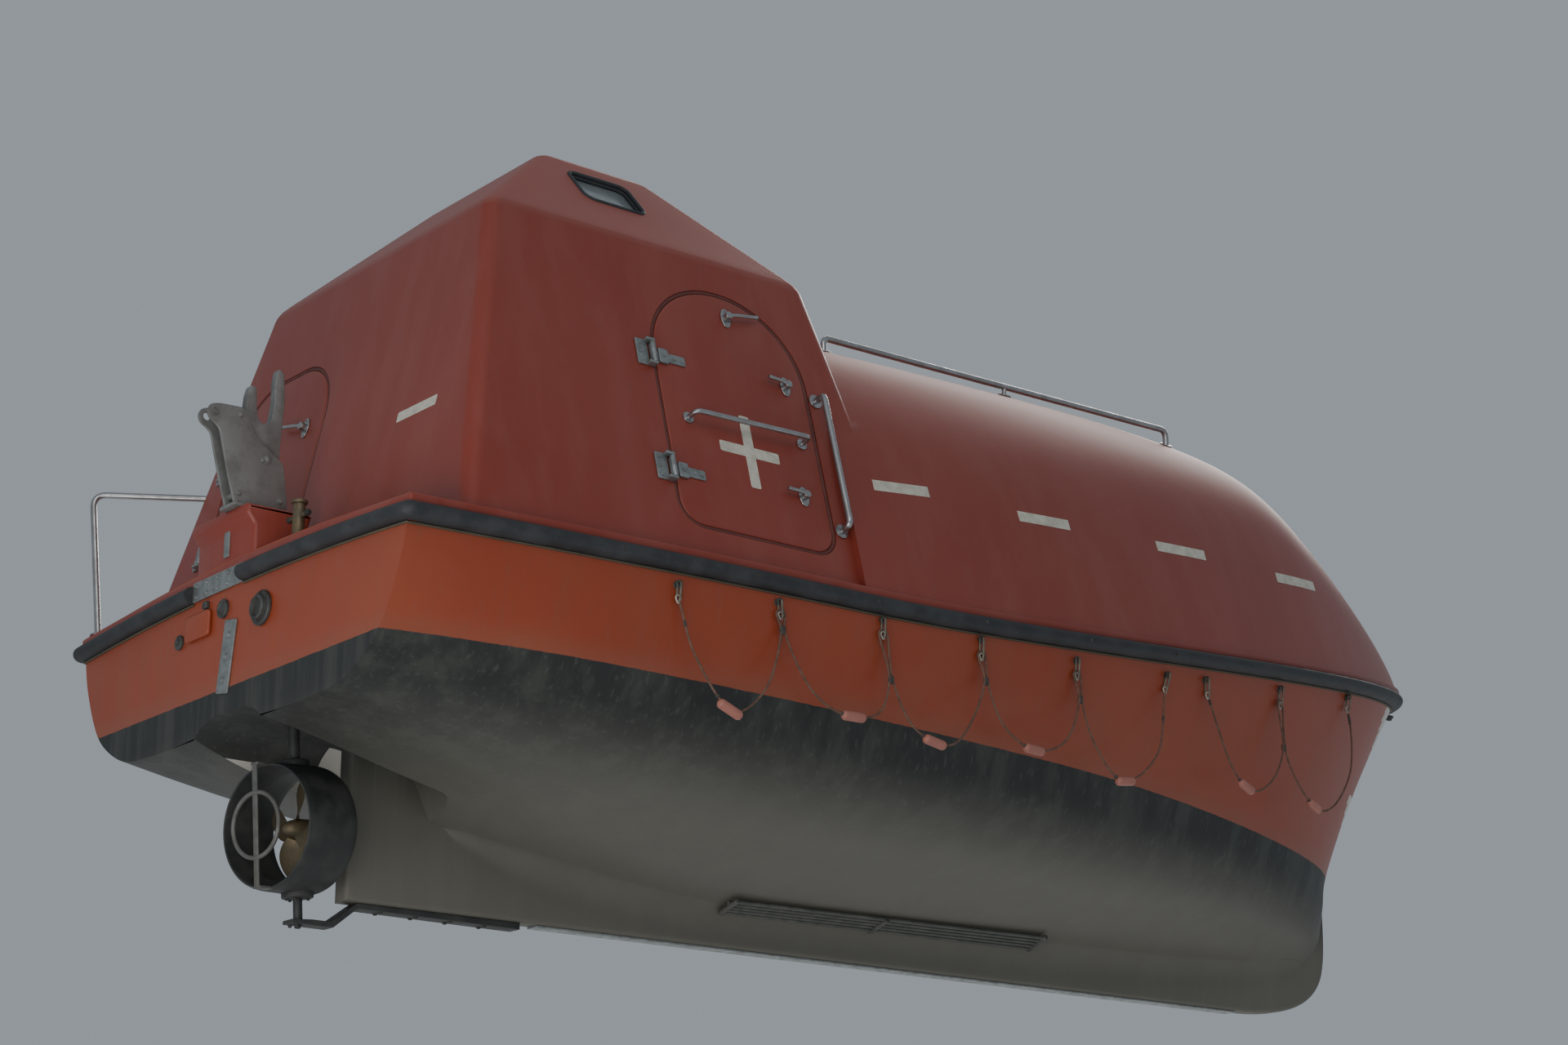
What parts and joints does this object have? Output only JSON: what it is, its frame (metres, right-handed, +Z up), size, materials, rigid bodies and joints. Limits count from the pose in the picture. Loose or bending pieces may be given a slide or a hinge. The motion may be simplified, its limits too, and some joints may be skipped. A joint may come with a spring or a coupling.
{
  "type": "enclosed lifeboat",
  "caption": "Enclosed ship's lifeboat with a raised steering cabin aft, keel, propeller in a steering nozzle, doors, lifting hooks, rails and a rubber fender.",
  "frame": {"origin": "on the centreline, amidships, at the waterline", "axes": "+X to the bow, +Y to port, +Z up"},
  "size_m": [7.0165, 2.652, 3.315],
  "materials": {
    "hull": "faded orange gelcoat above the waterline, dark antifouling below",
    "canopy": "faded brick-red gelcoat",
    "rubber": "weathered black",
    "galvanised": "dull galvanised, stained",
    "stainless": "satin, lightly stained",
    "dark_paint": "dark antifouling over steel",
    "bronze": "dull bronze",
    "window": "hazy acrylic",
    "engine": "satin grey-green",
    "rope": "dark braided rope, 9 mm thick"
  },
  "bodies": {
    "boat": {"hull": "hull", "keel_shoe": "galvanised", "keel_cooler": "galvanised", "stern_tube": "dark_paint", "sole_piece": "dark_paint", "engine_block": "engine", "canopy": "canopy", "starboard_window": "window", "port_window": "window", "front_window_port": "window", "front_window_starboard": "window", "fender_port": "rubber", "fender_starboard": "rubber", "fender_stern_port": "rubber", "fender_stern_starboard": "rubber", "stern_plate": "galvanised", "chainplate": "galvanised", "exhaust_outlet": "galvanised", "bow_towing_pin": "galvanised", "painter_eye": "galvanised", "aft_hook_pedestal": "canopy", "aft_hook_frame": "galvanised", "fore_hook_frame": "galvanised", "mooring_post": "bronze", "roof_rail_port": "stainless", "roof_rail_starboard": "stainless", "side_rail_starboard": "stainless", "side_rail_port": "stainless", "aft_rail": "stainless", "grab_line_aft_port": "rope", "grab_line_aft_starboard": "rope", "grab_line_fore_port": "rope", "grab_line_fore_starboard": "rope"},
    "steering_nozzle": {"steering_nozzle": "dark_paint"},
    "propeller": {"propeller": "bronze"},
    "starboard_door": {"starboard_door": "canopy", "starboard_door_hinge_lower": "stainless", "starboard_door_hinge_upper": "stainless", "starboard_door_dog_1": "stainless", "starboard_door_dog_2": "stainless", "starboard_door_dog_3": "stainless", "starboard_door_bar": "stainless"},
    "port_door": {"port_door": "canopy", "port_door_hinge_lower": "stainless", "port_door_hinge_upper": "stainless", "port_door_dog_1": "stainless", "port_door_dog_2": "stainless", "port_door_dog_3": "stainless", "port_door_bar": "stainless"},
    "aft_door": {"aft_door": "canopy", "aft_door_hinge_lower": "stainless", "aft_door_hinge_upper": "stainless", "aft_door_dog": "stainless"},
    "roof_hatch": {"roof_hatch": "canopy"},
    "aft_hook": {"aft_hook": "galvanised"},
    "fore_hook": {"fore_hook": "galvanised"}
  },
  "joints": [
    {"name": "steering", "type": "hinge", "parent": "boat", "child": "steering_nozzle", "pos_m": [-3.108, 0, -0.365], "axis": [-0.0785, 0, 0.9969], "range_deg": [-48.5, 21.5]},
    {"name": "propeller_spin", "type": "hinge", "parent": "boat", "child": "propeller", "pos_m": [-3.108, 0, -0.365], "axis": [0.9969, 0, 0.0785], "continuous": true},
    {"name": "starboard_door_hinge", "type": "hinge", "parent": "boat", "child": "starboard_door", "pos_m": [-2.184, -1.0884, 1.2835], "axis": [0, -0.2669, -0.9637], "range_deg": [0, 100]},
    {"name": "port_door_hinge", "type": "hinge", "parent": "boat", "child": "port_door", "pos_m": [-2.184, 1.0884, 1.2835], "axis": [0, -0.2669, 0.9637], "range_deg": [0, 100]},
    {"name": "aft_door_hinge", "type": "hinge", "parent": "boat", "child": "aft_door", "pos_m": [-3.069, 0.866, 1.2377], "axis": [-0.2148, 0, -0.9767], "range_deg": [0, 90]},
    {"name": "roof_hatch_hinge", "type": "hinge", "parent": "boat", "child": "roof_hatch", "pos_m": [-2.28, 0, 2.584], "axis": [0, -1, 0], "range_deg": [0, 100]},
    {"name": "aft_hook_release", "type": "hinge", "parent": "boat", "child": "aft_hook", "pos_m": [-3.34, 0, 1.075], "axis": [0, -1, 0], "range_deg": [0, 60]},
    {"name": "fore_hook_release", "type": "hinge", "parent": "boat", "child": "fore_hook", "pos_m": [2.24, 0, 1.5153], "axis": [0, 1, 0], "range_deg": [0, 60]}
  ]
}
